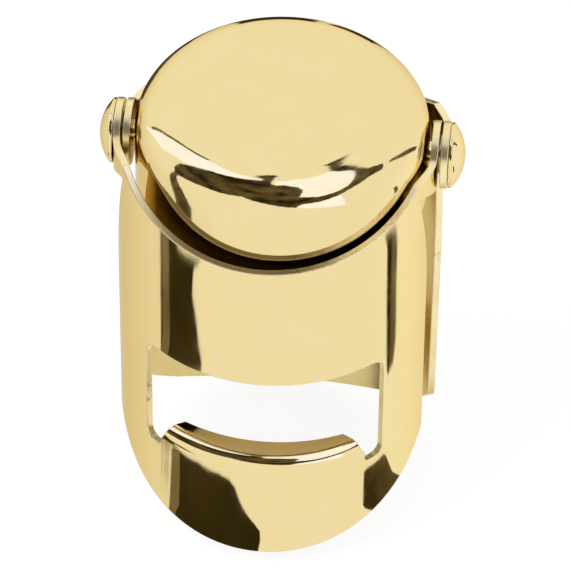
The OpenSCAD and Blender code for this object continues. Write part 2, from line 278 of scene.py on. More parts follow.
class Finishes(bpy.types.PropertyGroup):
    """Colours of the metal, the rubber and the floor"""

    gold: tint("Gold", "Polished gold plating", (0.87, 0.716, 0.371))
    pale_gold: tint("Pale gold", "Where the plating is thinnest", (0.88, 0.728, 0.388))
    # The inner gold and its rubbed variant are darker than the polished gold: painted shade on the
    # jaws' inner sides, besides their unpolished finish
    shaded_inner_gold: tint("Inner gold", "Shaded and unpolished inner faces of the jaws", (0.66, 0.52, 0.23))
    shaded_inner_rub: tint("Inner rub", "Where the inner faces are rubbed brighter", (0.72, 0.58, 0.28))
    cut_gold: tint("Cut gold", "Brighter plating on the cut edges", (0.95, 0.82, 0.49))
    # Dark colour of the painted shade on the jaws' inner faces between cap and jaws, and of the
    # shear marks on cut edges
    shade_and_shear_marks: tint("Painted shade and shear marks", "Dark film between cap and jaws and in shear marks", (0.10, 0.07, 0.02))
    washer_gold: tint("Washer", "Duller metal of the washers", (0.62, 0.47, 0.22))
    rubber: tint("Rubber", "Black rubber of the seal", (0.022, 0.022, 0.023))
    worn_rubber: tint("Worn rubber", "Pale worn sealing face of the rubber", (0.86, 0.77, 0.60))
    floor: tint("Floor", "Pale studio floor", (0.9, 0.9, 0.9))
    waviness: share("Waviness", "How wavy the pressed sheet is", 0.35)
    wear: share("Wear", "Fine rub marks in the polish", 0.25)


# ---------------------------------------------------------------- lines and meshes


def unit(rows):
    return rows / np.maximum(np.linalg.norm(rows, axis=-1, keepdims=True), 1e-12)


def rounded(corners, closed, step=0.35, arc_step=0.09):
    """Points along a line whose corners [x, y, radius] are rounded, with straight runs cut to
    about `step`."""
    corners = np.array(corners, float)
    n = len(corners)
    out = []
    for i in range(n):
        here, radius = corners[i, :2], corners[i, 2]
        if radius <= 0 or (not closed and i in (0, n - 1)):
            out.append(here)
            continue
        back = corners[i - 1, :2] - here
        ahead = corners[(i + 1) % n, :2] - here
        lb, la = np.linalg.norm(back), np.linalg.norm(ahead)
        back, ahead = back / lb, ahead / la
        angle = math.acos(float(np.clip(np.dot(-back, ahead), -1, 1)))
        if angle < 1e-3:
            out.append(here)
            continue
        run = min(radius * math.tan(angle / 2), 0.49 * lb, 0.49 * la)
        radius = run / math.tan(angle / 2)
        centre = here + unit(back + ahead) * math.hypot(run, radius)
        start, end = here + back * run, here + ahead * run
        count = max(3, int(math.ceil(radius * angle / arc_step)))
        for k in range(count + 1):
            t = k / count
            a = math.sin((1 - t) * angle) / math.sin(angle) if angle < 3.1 else 1 - t
            b = math.sin(t * angle) / math.sin(angle) if angle < 3.1 else t
            out.append(centre + a * (start - centre) + b * (end - centre))
    dense = []
    count = len(out)
    for i in range(count if closed else count - 1):
        p, q = out[i], out[(i + 1) % count]
        gap = float(np.linalg.norm(q - p))
        if gap < 1e-6:
            continue
        cuts = max(1, int(round(gap / step)))
        dense.extend(p + (q - p) * k / cuts for k in range(cuts))
    if not closed:
        dense.append(out[-1])
    return np.array(dense)


def side_of(line, closed):
    """Unit normals on the right-hand side of a line, one a point."""
    if closed:
        along = unit(np.roll(line, -1, 0) - line)
        along = unit(along + np.roll(along, 1, 0))
    else:
        step = unit(np.diff(line, axis=0))
        along = unit(np.vstack([step[:1], step[:-1] + step[1:], step[-1:]]))
    return np.stack([along[:, 1], -along[:, 0]], 1)


def placed(name, data):
    """An object in the scene."""
    made = bpy.data.objects.new(name, data)
    bpy.context.scene.collection.objects.link(made)
    return made


def make_piece(name, points, faces, normals, material, body, replaces, slot, others=()):
    """A mesh piece from points in millimetres, with the surface's own normals, riding on a
    body. `others` holds further materials, each with the faces that take it."""
    mesh = bpy.data.meshes.new(name)
    mesh.from_pydata((np.asarray(points) * MM).tolist(), [], faces)
    mesh.update()
    mesh.shade_smooth()
    mesh.normals_split_custom_set_from_vertices(np.asarray(normals).tolist())
    mesh.materials.append(material)
    for index, (other, taken) in enumerate(others, 1):
        mesh.materials.append(other)
        for i in taken:
            mesh.polygons[i].material_index = index
    piece = placed(name, mesh)
    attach(piece, body)
    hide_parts(replaces)


def lathe(line, normals, count, closed=False):
    """Turns a line of (radius, height) round the Z axis. An open line starts and ends on the
    axis."""
    angles = np.linspace(0, 2 * math.pi, count, endpoint=False)
    ca, sa = np.cos(angles), np.sin(angles)
    points, turned, rings = [], [], []
    for (r, z), (nr, nz) in zip(line, normals):
        if r < 1e-6:
            rings.append([len(points)])
            points.append((0, 0, z))
            turned.append((0, 0, math.copysign(1, nz)))
            continue
        rings.append(list(range(len(points), len(points) + count)))
        points.extend(zip(r * ca, r * sa, [z] * count))
        turned.extend(zip(nr * ca, nr * sa, [nz] * count))
    faces = []
    for low, high in zip(rings, rings[1:] + (rings[:1] if closed else [])):
        for i in range(count):
            j = (i + 1) % count
            if len(low) == 1:
                faces.append((low[0], high[j], high[i]))
            elif len(high) == 1:
                faces.append((low[i], low[j], high[0]))
            else:
                faces.append((low[i], low[j], high[j], high[i]))
    return np.array(points, float), faces, np.array(turned, float)


def turned(corners, count, step, arc_step, closed=False):
    """Rounds a profile of (radius, height, corner radius) and turns it round the Z axis."""
    line = rounded(corners, closed, step, arc_step)
    return lathe(line, side_of(line, closed), count, closed)


def make_pair(kind, ending, shape, start, cap, material, slot):
    """A turned piece laid along +X on the hinge axis from x = start, and its mirror image."""
    points, faces, normals = shape
    points, normals = (np.roll(rows, 1, 1) for rows in (points, normals))
    points = points + np.array([start, 0, 0])
    lift, flip = np.array([0, 0, cap.hinge_height / MM]), np.array([-1, 1, 1])
    for side in ("right", "left"):
        make_piece(f"{side}_{kind}_{ending}", points + lift, faces, normals, material,
                   "cap", f"{side}_{kind}", slot)
        points, normals = points * flip, normals * flip
        faces = [tuple(reversed(f)) for f in faces]


def tail_seat(cap, hinge):
    """How far from the middle the upset tails begin, in millimetres."""
    bore = (cap.radius - cap.wall) / MM
    return math.sqrt(bore ** 2 - (hinge.tail / MM) ** 2)


# ---------------------------------------------------------------- the pressed jaw


class PressedJaw:
    """A jaw's sizes in millimetres, and the way from its flat blank to its pressed shape. On
    the blank, u runs along the sheet from the jaw's middle and z up from the hinge axis."""

    # Where the tab's side turns into the lip's slanting end
    LEDGE_TURN = math.radians(0.8)
    # Depth of the bend that the slanting end leaves out
    LEDGE = 0.12
    # Reach above the sill of everything that belongs to tab and lip
    LIP_ZONE = 8
    # Least distance of inner points from the lines
    SEED_CLEAR = 0.22
    # Slack that counts points on the side edge as part of the wall
    WALL_SLACK = 0.3
    # Steps round a cut edge's rounding
    EDGE_TURNS = [math.radians(a) for a in (30, 60, 90)]

    def __init__(self, cap, jaw, hinge):
        def mm(value):
            return value / MM
        self.t = mm(jaw.sheet)
        self.edge = mm(jaw.edge)
        inner = mm(cap.radius + hinge.cap_clear)
        outer = inner + self.t + 2 * mm(hinge.play) + mm(hinge.washer)
        self.shift = (outer - inner) / 2
        self.ri = (inner + outer) / 2
        self.r = self.ri + self.t / 2
        self.ro = self.ri + self.t
        self.hinge = mm(cap.hinge_height)
        self.lip = -self.hinge - mm(jaw.grip)
        self.bend = mm(jaw.bend) + self.t / 2
        self.bend_r = self.ri - mm(jaw.bend)
        self.full = math.pi / 2 + jaw.lip_sag
        self.rise = mm(jaw.tab_rise)
        self.tab = self.lip - mm(jaw.bend) - self.t
        self.sill = self.tab - self.rise
        self.window_top = self.lip + mm(jaw.window_clear)
        self.tip_low = self.sill - mm(jaw.chin)
        self.tip_r, self.scoop_r = mm(jaw.tip_radius), mm(jaw.scoop_radius)
        self.scoop_low = mm(jaw.scoop_low)
        self.neck, self.flare = mm(jaw.neck), mm(jaw.flare_low)
        self.flare_r = mm(jaw.flare_radius)
        self.spread = jaw.spread
        self.window_a = math.asin(mm(jaw.window_width) / 2 / self.ro)
        self.tab_a = math.asin(mm(jaw.tab_width) / 2 / self.ro)
        self.sill_round, self.top_round = mm(jaw.sill_round), mm(jaw.top_round)
        self.lip_reach, self.lip_w = mm(jaw.lip_reach), mm(jaw.lip_width)
        self.hollow = mm(jaw.lip_hollow)
        self.ear, self.fillet, self.hole = mm(hinge.ear), mm(hinge.fillet), mm(hinge.hole)
        self.arm_bend = mm(hinge.arm_bend)
        self.arm_a = self.edge_angle(self.neck)
        self.arm_u = self.r * self.arm_a
        self.arm_top = self.scoop(self.arm_u)
        sin_a, cos_a = math.sin(self.arm_a), math.cos(self.arm_a)
        self.arm_len = (self.r - self.arm_bend) * (1 - sin_a) / cos_a
        self.turn_len = self.arm_bend * (math.pi / 2 - self.arm_a)
        self.root = np.array([self.r * sin_a, -self.r * cos_a])
        self.turn_c = np.array([
            self.r - self.arm_bend,
            self.root[1] + self.arm_len * sin_a + self.arm_bend * cos_a,
        ])
        self.back_swing = jaw.back_swing

    @staticmethod
    def sag(radius, s):
        """How far an arc leaves its tangent at a distance s along it."""
        return radius - np.sqrt(radius * radius - s * s)

    def scoop(self, s):
        return self.sag(self.scoop_r, s) - self.scoop_low

    def edge_angle(self, z):
        return self.spread - self.sag(self.flare_r, max(z - self.flare, 0)) / self.r

    def u_at(self, y):
        """Distance along the blank at which the right arm reaches y."""
        if y < self.root[1]:
            return self.r * math.acos(min(1.0, -y / self.r))
        ahead = (y - self.root[1]) / math.sin(self.arm_a)
        if ahead < self.arm_len:
            return self.arm_u + ahead
        if y < self.turn_c[1]:
            theta = math.acos(np.clip((self.turn_c[1] - y) / self.arm_bend, -1, 1))
            return self.arm_u + self.arm_len + self.arm_bend * (theta - self.arm_a)
        return self.arm_u + self.arm_len + self.turn_len + y - self.turn_c[1]

    def outline(self):
        """The blank's outer line, anticlockwise from the middle of the round tip."""
        right = []
        half = self.r * self.spread
        for s in np.linspace(0, half, 64):
            right.append([s, self.tip_low + self.sag(self.tip_r, s), 0])
        right[-1][2] = 1.0
        right.append([half, self.flare, 0])
        for z in np.linspace(self.flare, self.neck, 26)[1:]:
            right.append([self.r * self.edge_angle(z), z, 0])
        right[-1][2] = 0.3
        root = np.array([self.root[1], self.neck])
        away = np.linalg.norm(root)
        aim = math.atan2(root[1], root[0]) + math.acos(self.ear / away)
        fz = self.arm_top + self.fillet
        fy = -math.sqrt((self.ear + self.fillet) ** 2 - fz * fz)
        meet = math.atan2(fz, fy)
        touch = self.ear * np.array([math.cos(aim), math.sin(aim)])
        for t in np.linspace(0, 1, 12)[1:-1]:
            y, z = root + (touch - root) * t
            right.append([self.u_at(y), z, 0])
        for a in np.linspace(aim, meet, 90):
            right.append([self.u_at(self.ear * math.cos(a)), self.ear * math.sin(a), 0])
        for a in np.linspace(meet - math.pi, -math.pi / 2, 14)[1:]:
            y, z = fy + self.fillet * math.cos(a), fz + self.fillet * math.sin(a)
            right.append([self.u_at(y), z, 0])
        for y in np.linspace(fy, self.root[1], 8)[1:-1]:
            right.append([self.u_at(y), self.arm_top, 0])
        for s in np.linspace(self.arm_u, 0, 60):
            right.append([s, self.scoop(s), 0])
        return rounded(right + self.other_side(right[1:-1]), True)

    @staticmethod
    def other_side(corners):
        return [[-u, z, radius] for u, z, radius in reversed(corners)]

    def hollow_radius(self, a):
        away = self.hollow + self.lip_reach - self.ro
        return -away * math.cos(a) + math.sqrt(self.hollow ** 2 - (away * math.sin(a)) ** 2)

    def window(self):
        """The window's line, clockwise, round the tab that turns in to the lip."""
        quarter = self.bend * self.full
        away = self.hollow + self.lip_reach - self.ro
        tip = np.array([
            self.lip_w / 2, away - math.sqrt(self.hollow ** 2 - self.lip_w ** 2 / 4)])
        step_a = self.tab_a - self.LEDGE_TURN
        corner = self.ro * np.array([math.sin(step_a), -math.cos(step_a)])
        flank = []
        for t in np.linspace(0.0, 1.0, 40):
            x, y = corner + (tip - corner) * t
            r, a = math.hypot(x, y), math.atan2(x, -y)
            if r > self.r - self.LEDGE:
                continue
            if r > self.bend_r:
                v = self.rise + self.bend * math.acos((r - self.bend_r) / self.bend)
            else:
                v = self.rise + quarter + self.bend_r - r
            flank.append([a * self.r, self.sill + v, 0])
        flank[-1][2] = 0.3
        flank[0][2] = 0.15
        tab = self.r * self.tab_a
        wide = self.r * self.window_a
        side = [[wide, self.sill, self.sill_round], [tab, self.sill, 0.3],
                [tab, self.sill + 0.85 * self.rise, 0.4]] + flank
        last = flank[-1][0] / self.r
        full = self.sill + self.rise + quarter + self.bend_r
        edge = [[a * self.r, full - self.hollow_radius(a), 0]
                for a in np.linspace(last, -last, 60)[1:-1]]
        top = [[side_u, self.window_top, self.top_round] for side_u in (-wide, wide)]
        return rounded(top + side + edge + self.other_side(side), True)

    def holes(self):
        loops = []
        for side in (1, -1):
            a = np.linspace(0, -2 * math.pi * side, 64, endpoint=False)
            u = np.array([self.u_at(self.hole * math.cos(x)) for x in a])
            loops.append(np.stack([side * u, self.hole * np.sin(a)], 1))
        return loops

    def seeds(self):
        """Points inside the blank, closer together where it bends."""
        def grid(along, up):
            return np.stack(np.meshgrid(along, up), -1).reshape(-1, 2)

        sets = [grid(np.arange(-self.arm_u, self.arm_u + 0.01, self.arm_u * 2 / 90),
                     np.arange(self.tip_low, self.arm_top, 0.8))]
        far = grid(np.arange(self.arm_u + 0.4, self.r * self.spread, 0.45),
                   np.arange(self.tip_low, self.neck - 0.5, 0.8))
        sets += [far, far * [-1, 1]]
        start = self.arm_u + self.arm_len
        end = start + self.turn_len
        arm = grid(np.concatenate([
            np.arange(self.arm_u + 0.5, start - 0.1, 0.5), np.linspace(start, end, 7),
            np.arange(end + 0.4, end + 12, 0.6),
        ]), np.arange(-5, 5, 0.6) + 0.3)
        sets += [arm, arm * [-1, 1]]
        tab = self.r * self.tab_a
        bend = self.bend * self.full
        v = np.concatenate([
            np.arange(0.1, self.rise - 0.1, 0.35),
            self.rise + np.linspace(0, bend, 12),
            self.rise + bend + np.arange(0.25, 3, 0.35),
        ])
        return sets + [grid(np.arange(-tab, tab, 0.45) + 0.2, self.sill + v)]

    def on_lip(self, flat):
        u, z = flat[:, 0], flat[:, 1]
        wide = self.r * (self.window_a + self.tab_a) / 2
        return (np.abs(u) < wide) & (z > self.sill) & (z < self.sill + self.LIP_ZONE)

    def press(self, flat):
        """Where points of the flat blank go: place, outward normal, and the two directions
        along the sheet."""
        u, z = flat[:, 0], flat[:, 1]
        side = np.where(u < 0, -1.0, 1.0)
        far = np.abs(u)
        theta = np.clip(far / self.r, 0, self.arm_a)
        end = self.arm_u + self.arm_len
        turning = np.clip((far - end) / self.arm_bend, 0, math.pi / 2 - self.arm_a)
        rise = np.clip(z - self.flare, 0, self.flare_r)
        wall = self.r * self.spread - self.sag(self.flare_r, rise)
        below = (z < self.neck) & (far < wall + self.WALL_SLACK)
        free = np.where(below, far / self.r, theta + turning)
        on_tube = np.where(below, far / self.r, theta)
        straight = np.where(below, 0, np.clip(far - self.arm_u, 0, self.arm_len))
        x = self.r * np.sin(on_tube) + straight * math.cos(self.arm_a)
        y = -self.r * np.cos(on_tube) + straight * math.sin(self.arm_a)
        bent = ~below & (turning > 0)
        x = np.where(bent, self.turn_c[0] + self.arm_bend * np.sin(free), x)
        y = np.where(bent, self.turn_c[1] - self.arm_bend * np.cos(free), y)
        y = y + np.where(below, 0, np.clip(far - end - self.turn_len, 0, None))
        zero, one = np.zeros_like(u), np.ones_like(u)
        place = np.stack([side * x, y, z], 1)
        normal = np.stack([side * np.sin(free), -np.cos(free), zero], 1)
        across = np.stack([np.cos(free), side * np.sin(free), zero], 1)
        up = np.stack([zero, zero, one], 1)
        lip = self.on_lip(flat)
        v = z - self.sill
        phi = np.clip((v - self.rise) / self.bend, 0, self.full)
        reach = np.clip(v - self.rise - self.bend * self.full, 0, None)
        radius = np.where(phi > 0, self.bend_r + self.bend * np.cos(phi), self.r)
        radius = radius - reach * math.sin(self.full)
        height = np.where(phi > 0, self.tab + self.bend * np.sin(phi), z)
        height = height + reach * math.cos(self.full)
        a = u / self.r
        sa, ca = np.sin(a), np.cos(a)
        lip_place = np.stack([radius * sa, -radius * ca, height], 1)
        lip_normal = np.stack([np.cos(phi) * sa, -np.cos(phi) * ca, np.sin(phi)], 1)
        lip_up = np.stack([-np.sin(phi) * sa, np.sin(phi) * ca, np.cos(phi)], 1)
        lip_across = np.stack([ca, sa, zero], 1)
        pick = lip[:, None]
        return (np.where(pick, lip_place, place), np.where(pick, lip_normal, normal),
                np.where(pick, lip_across, across), np.where(pick, lip_up, up))

    def build(self):
        """Points, faces and normals of the pressed sheet, its cut edges rounded, and which
        faces are its inner face and its cut edges."""
        loops = [self.outline(), self.window(), *self.holes()]
        outs = [side_of(loop, True) for loop in loops]
        inner = [loop - out * self.edge for loop, out in zip(loops, outs)]
        flat = np.vstack(inner)
        edges, start = [], 0
        for loop in inner:
            n = len(loop)
            edges += [(start + i, start + (i + 1) % n) for i in range(n)]
            start += n
        border = flat.copy()
        for seeds in self.seeds():
            seeds = seeds[in_sheet(seeds, *inner)]
            if len(seeds):
                flat = np.vstack([flat, seeds[nearest(seeds, border) > self.SEED_CLEAR]])
        verts, _, faces, origin, _, _ = delaunay_2d_cdt(
            [Vector(p) for p in flat.tolist()], edges, [], 0, CDT_LEAST)
        flat2 = np.array([tuple(v) for v in verts])
        where = {}
        for i, sources in enumerate(origin):
            for source in sources:
                where[source] = i
        flat2[[where[i] for i in range(len(flat))]] = flat
        tris = np.array([f for f in faces if len(f) == 3])
        tris = tris[in_sheet(flat2[tris].mean(1), *inner)]
        used = np.unique(tris)
        new = -np.ones(len(flat2), int)
        new[used] = np.arange(len(used))
        tris, flat2 = new[tris], flat2[used]
        place, normal, _, _ = self.press(flat2)
        n = len(flat2)
        half = self.t / 2
        points = [place + normal * half, place - normal * half]
        normals = [normal, -normal]
        rows = [tuple(map(int, t)) for t in tris]
        rows += [tuple(int(x) + n for x in reversed(t)) for t in tris]
        count, start, sheet_faces = 2 * n, 0, len(rows)
        for loop, out in zip(loops, outs):
            m = len(loop)
            first = np.array([new[where[start + i]] for i in range(m)])
            rings = [first]
            for sign, steps in ((1, self.EDGE_TURNS), (-1, self.EDGE_TURNS[::-1])):
                for a in steps:
                    at = loop - out * self.edge * (1 - math.sin(a))
                    p, nn, across, up = self.press(at)
                    outward = across * out[:, :1] + up * out[:, 1:]
                    points.append(p + sign * nn * (half - self.edge * (1 - math.cos(a))))
                    normals.append(unit(sign * nn * math.cos(a) + outward * math.sin(a)))
                    rings.append(np.arange(count, count + m))
                    count += m
            rings.append(first + n)
            for high, low in zip(rings, rings[1:]):
                for i in range(m):
                    j = (i + 1) % m
                    rows.append((int(high[i]), int(low[i]), int(low[j]), int(high[j])))
            start += m
        points = np.vstack(points) - np.array([self.shift, 0, 0])
        parts = {"inner": range(len(tris), sheet_faces), "cut": range(sheet_faces, len(rows))}
        return points, rows, np.vstack(normals), parts

    def swung(self, points, normals):
        """Turns the jaw half round and leans it in, as the back jaw."""
        turn = np.array(
            Matrix.Rotation(-self.back_swing, 3, "X") @ Matrix.Rotation(math.pi, 3, "Z"))
        return points @ turn.T, normals @ turn.T


def inside(points, loop):
    """Which points lie inside a closed line."""
    x, y = points[:, 0], points[:, 1]
    result = np.zeros(len(points), bool)
    ax, ay = loop[:, 0], loop[:, 1]
    bx, by = np.roll(ax, -1), np.roll(ay, -1)
    for x0, y0, x1, y1 in zip(ax, ay, bx, by):
        if y0 == y1:
            continue
        crosses = (y0 > y) != (y1 > y)
        result ^= crosses & (x < (x1 - x0) * (y - y0) / (y1 - y0) + x0)
    return result


def in_sheet(points, outer, *openings):
    """Which points lie inside the outer line and in none of the openings."""
    kept = inside(points, outer)
    for opening in openings:
        kept &= ~inside(points, opening)
    return kept


def nearest(points, others):
    """Distance from each point to the nearest of the others."""
    best = np.full(len(points), 1e9)
    for i in range(0, len(others), 200):
        gap = points[:, None, :] - others[None, i:i + 200, :]
        best = np.minimum(best, np.sqrt((gap ** 2).sum(-1)).min(1))
    return best


# ---------------------------------------------------------------- finishes


def connect(tree, node, inputs):
    """Sets a node's inputs: a plain value is set, and a socket is linked."""
    for name, value in inputs.items():
        if isinstance(value, bpy.types.NodeSocket):
            tree.links.new(value, node.inputs[name])
        else:
            node.inputs[name].default_value = value


def add(tree, kind, inputs=None, **settings):
    """A new node with its settings and inputs."""
    node = tree.nodes.new("ShaderNode" + kind)
    for name, value in settings.items():
        setattr(node, name, value)
    connect(tree, node, inputs or {})
    return node


def maths(tree, operation, a, b=0.0):
    return add(tree, "Math", {0: a, 1: b}, operation=operation).outputs[0]


def mix(tree, share, first, second):
    """The colour that lies a share of the way from the first to the second."""
    return add(tree, "Mix", {0: share, 6: first, 7: second}, data_type="RGBA").outputs[2]


def piece_place(tree):
    """Where a point lies on its piece, in metres."""
    return add(tree, "TexCoord").outputs["Object"]


def cloudy(tree, place, scale, detail, roughness=0.5):
    """A cloudy pattern, from 0 to 1."""
    return add(tree, "TexNoise", {
        "Vector": place, "Scale": scale, "Detail": detail, "Roughness": roughness,
    }).outputs["Fac"]


def between(tree, value, low, high, interpolation="SMOOTHSTEP"):
    """How far a value lies from low to high, from 0 to 1."""
    return add(tree, "MapRange", {"Value": value, "From Min": low, "From Max": high},
               interpolation_type=interpolation).outputs[0]


def colour_ramp(tree, value, stops):
    """The colour at a value, from stops of (place, colour)."""
    ramp = add(tree, "ValToRGB", {0: value})
    elements = ramp.color_ramp.elements
    while len(elements) < len(stops):
        elements.new(0.5)
    for element, (place, colour) in zip(elements, stops):
        element.position = place
        element.color = (*colour, 1)
    return ramp.outputs[0]


def dented(tree, height, strength, distance):
    """The surface's direction where a height dents it."""
    return add(tree, "Bump", {
        "Strength": strength, "Distance": distance, "Height": height,
    }).outputs["Normal"]


def new_material(name):
    """A material, its node tree and its shader."""
    material = bpy.data.materials.new(name)
    material.use_nodes = True
    tree = material.node_tree
    return material, tree, tree.nodes["Principled BSDF"]


def shared_group(name, inputs, outputs, draw):
    """A shader node group, built once; `draw` makes its nodes and gives the outputs in order."""
    if name in bpy.data.node_groups:
        return bpy.data.node_groups[name]
    group = bpy.data.node_groups.new(name, "ShaderNodeTree")
    for label, value in inputs:
        socket = group.interface.new_socket(
            label, in_out="INPUT", socket_type="NodeSocketFloat")
        socket.default_value = value
    for label in outputs:
        group.interface.new_socket(label, in_out="OUTPUT", socket_type="NodeSocketFloat")
    given = group.nodes.new("NodeGroupInput").outputs
    result = group.nodes.new("NodeGroupOutput").inputs
    for label, socket in zip(outputs, draw(group, given)):
        group.links.new(socket, result[label])
    return group


def polish_group():
    """Slow waves of a pressed sheet, fine rub lines and smudges of the polish, in millimetres."""
    def draw(group, given):
        place = add(group, "VectorMath", {0: piece_place(group), "Scale": 1000.0},
                    operation="SCALE").outputs[0]
        wave = cloudy(group, place, maths(group, "DIVIDE", 1.0, given["Wave size"]), 1.0, 0.35)
        stretched = add(group, "Mapping", {
            "Vector": place, "Scale": (0.5, 0.5, 9.0), "Rotation": (0.3, 0.12, 0.0),
        }).outputs[0]
        rub = cloudy(group, stretched, 2.2, 3.0)
        smudges = between(group, cloudy(group, place, 0.23, 4.0, 0.6), 0.42, 0.72)
        waves = maths(group, "MULTIPLY", wave, given["Wave depth"])
        lines = maths(group, "MULTIPLY", rub, given["Rub depth"])
        lines = maths(group, "MULTIPLY", lines, RUB_TO_WAVE)
        dull = maths(group, "MULTIPLY", smudges, given["Smudge"])
        return (maths(group, "ADD", dull, given["Gloss"]),
                maths(group, "ADD", waves, lines), smudges)

    return shared_group(
        "Polish and wear",
        [("Wave size", 9.0), ("Wave depth", 0.35), ("Rub depth", 0.25), ("Gloss", 0.06),
         ("Smudge", 0.05)],
        ["Roughness", "Height", "Smudges"], draw)


def band_group():
    """How far a point lies between two heights above the sealing face, in millimetres, and
    nearer the middle than Reach."""
    def draw(group, given):
        place = piece_place(group)
        split = add(group, "SeparateXYZ", {0: place}).outputs
        ragged = maths(group, "SUBTRACT", cloudy(group, place, 450.0, 3.0), 0.5)
        height = maths(group, "ADD", maths(group, "MULTIPLY", split["Z"], 1000.0), ragged)
        aside = maths(group, "ABSOLUTE", maths(group, "MULTIPLY", split["X"], 1000.0))
        near = maths(group, "SUBTRACT", given["Reach"], aside)
        return (maths(group, "MULTIPLY", between(group, height, given["Low"], given["High"]),
                      between(group, near, 0.0, 1.5, "LINEAR")),)

    return shared_group(
        "Height band", [("Low", 0.0), ("High", 4.0), ("Reach", 100.0)], ["Mask"], draw)


def in_band(tree, low, high, reach):
    return add(tree, "Group", {"Low": low, "High": high, "Reach": reach},
               node_tree=band_group()).outputs["Mask"]


def shear_marks(tree):
    """Short dark marks that the press tool leaves along parts of a cut edge."""
    place = piece_place(tree)
    marks, stretches = [
        between(tree, cloudy(tree, place, scale, 1.0), low, high, "LINEAR")
        for scale, low, high in ((1500.0, 0.5, 0.66), (60.0, 0.60, 0.70))]
    return maths(tree, "MULTIPLY", marks, stretches)


def metal(name, colour, pale, wave_size, wave_depth, rub, gloss, smudge, bump, dark=None):
    """Polished plated metal with its own waves, rub marks and smudges. `dark` is a dark colour
    laid on
    it: painted shade in the band of heights given with it, or dark shear marks where the band is
    None."""
    if name in bpy.data.materials:
        return bpy.data.materials[name]
    material, tree, shader = new_material(name)
    wear = add(tree, "Group", {
        "Wave size": wave_size, "Wave depth": wave_depth, "Rub depth": rub, "Gloss": gloss,
        "Smudge": smudge,
    }, node_tree=polish_group()).outputs
    shade = mix(tree, wear["Smudges"], (*colour, 1), (*pale, 1))
    if dark:
        shade_and_marks, band = dark
        # With a band this lays painted shade on the inner faces; with none, dark shear marks on
        # cut edges
        shade = mix(tree, in_band(tree, *band) if band else shear_marks(tree), shade, (*shade_and_marks, 1))
    connect(tree, shader, {
        "Metallic": 1.0, "Specular Tint": EDGE_TINT, "Base Color": shade,
        "Roughness": wear["Roughness"], "Normal": dented(tree, wear["Height"], 1.0, bump),
    })
    return material


def rubber(name, colour, worn):
    """Moulded rubber with a fine grain and a little dust, scuffed pale on its sealing face."""
    material, tree, shader = new_material(name)
    place = piece_place(tree)
    grain = cloudy(tree, place, 3500.0, 4.0)
    dust = cloudy(tree, place, 260.0, 5.0)
    dusty = [min(1, c * 2.6) for c in colour]
    shade = colour_ramp(tree, dust, [(0.45, colour), (0.8, dusty)])
    rough = add(tree, "MapRange", {"Value": dust, "To Min": 0.42, "To Max": 0.62}).outputs[0]
    connect(tree, shader, {
        "Base Color": mix(tree, in_band(tree, 0.1, 1.0, 100.0), (*worn, 1), shade),
        "Roughness": rough, "Normal": dented(tree, grain, 0.5, 0.00004),
    })
    return material


def gold_for(kind):
    """The gold plating as it looks on one kind of surface."""
    look = bpy.context.scene.stopper_finishes
    wave_size, wave_depth, bump, gloss = GOLD_SURFACES[kind]
    colours, dark = {
        # Inner faces take painted shade in a band between cap and jaws; cut edges take dark shear
        # marks
        "inner": ((look.shaded_inner_gold, look.shaded_inner_rub), (look.shade_and_shear_marks, PAINTED_SHADE_BAND)),
        "cut": ((look.cut_gold, look.gold), (look.shade_and_shear_marks, None)),
    }.get(kind, ((look.gold, look.pale_gold), None))
    return metal("gold_" + kind, *colours, wave_size, wave_depth * look.waviness, look.wear,
                 gloss, 0.05, bump, dark)


# ---------------------------------------------------------------- pieces


class STOPPER_OT_cap(bpy.types.Operator):
    """Spin the drum cap with its rounded shoulder and thin skirt"""

    bl_idname = "stopper.cap"
    bl_label = "Drum cap"

    def execute(self, context):
        cap = context.scene.stopper_cap
        r, top, low = cap.radius / MM, cap.top / MM, cap.low / MM
        shoulder, wall = cap.shoulder / MM, cap.wall / MM
        make_piece("drum_cap", *turned([
            (0, top - wall, 0), (r - wall, top - wall, shoulder - wall),
            (r - wall, low, 0.15), (r, low, 0.2), (r, top, shoulder), (0, top, 0),
        ], 256, 0.8, 0.18), gold_for("cap"), "cap", "cap_shell", "gold_polish")
        return {"FINISHED"}


class STOPPER_OT_seal(bpy.types.Operator):
    """Mould the rubber seal that fills the cap and stands out below it"""

    bl_idname = "stopper.seal"
    bl_label = "Rubber seal"

    def execute(self, context):
        scene = context.scene
        cap, hinge, look = scene.stopper_cap, scene.stopper_hinge, scene.stopper_finishes
        bore = (cap.radius - cap.wall) / MM
        core = tail_seat(cap, hinge) - hinge.tail_thick / MM - SEAT_GAP
        neck = (cap.hinge_height - hinge.tail) / MM - SEAT_GAP
        face, flange = cap.seal_radius / MM, cap.low / MM + cap.seal_gap / MM
        wide, top, shoulder = bore - cap.seal_gap / MM, cap.seal_top / MM, cap.shoulder / MM
        crown = bore - shoulder
        make_piece("rubber_seal", *turned([
            (0, 0, 0), (face, 0, cap.seal_round / MM), (face, flange, 0.25),
            (wide, flange, 0.3), (wide, neck, 0.2), (core, neck, 0.2),
            (core, top - shoulder, 0.3), (crown, top - shoulder, 0.3), (crown, top, 0.3),
            (0, top, 0),
        ], 192, 0.8, 0.12), rubber("seal_rubber", look.rubber, look.worn_rubber),
            "cap", "seal", "seal_rubber")
        return {"FINISHED"}


